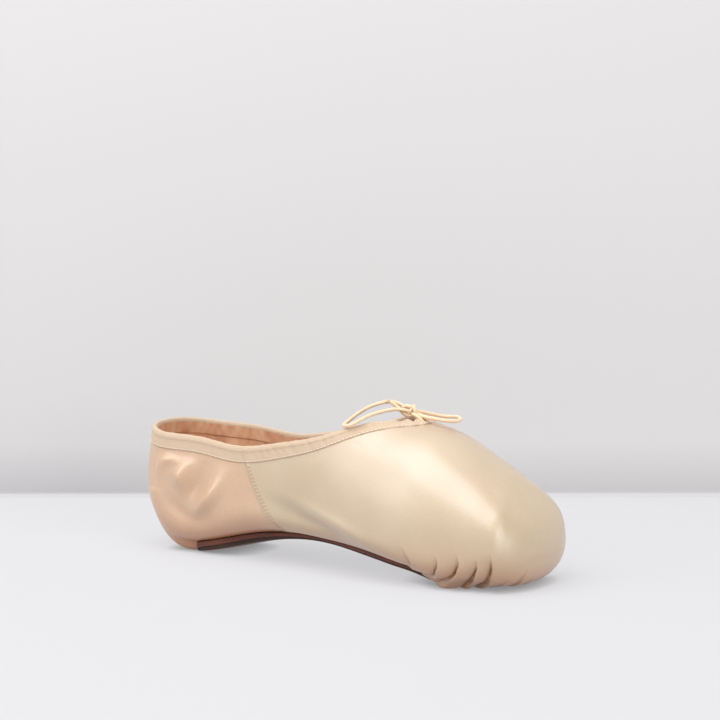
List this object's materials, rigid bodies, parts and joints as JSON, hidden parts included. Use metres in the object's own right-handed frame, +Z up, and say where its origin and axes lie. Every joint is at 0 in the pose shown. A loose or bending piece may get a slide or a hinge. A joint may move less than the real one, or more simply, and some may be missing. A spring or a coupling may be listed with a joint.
{
  "type": "pointe shoe",
  "caption": "Satin ballet pointe shoe with a stiff toe block, folded drawstring binding, leather outsole and a small bow over the throat.",
  "frame": {"origin": "middle of the shoe's length and width, on the floor it stands on", "axes": "+X towards the toe, +Z up, +Y to the side away from the viewer of the picture"},
  "size_m": [0.23, 0.0794, 0.0842],
  "materials": {
    "satin": "champagne polyester satin, lustrous, on a pasted cotton backing",
    "binding_tape": "matte cotton tape folded over the topline",
    "sole_leather": "brown suede split with a dark scored edge",
    "lining": "salmon cotton drill",
    "drawstring": "braided cotton cord"
  },
  "bodies": {
    "root": {"upper": "satin", "binding": "binding_tape", "outsole": "sole_leather", "inner_sole": "lining", "bow_knot": "drawstring", "bow_heel_loop": "drawstring", "bow_toe_loop": "drawstring", "bow_tail": "drawstring"}
  },
  "joints": []
}
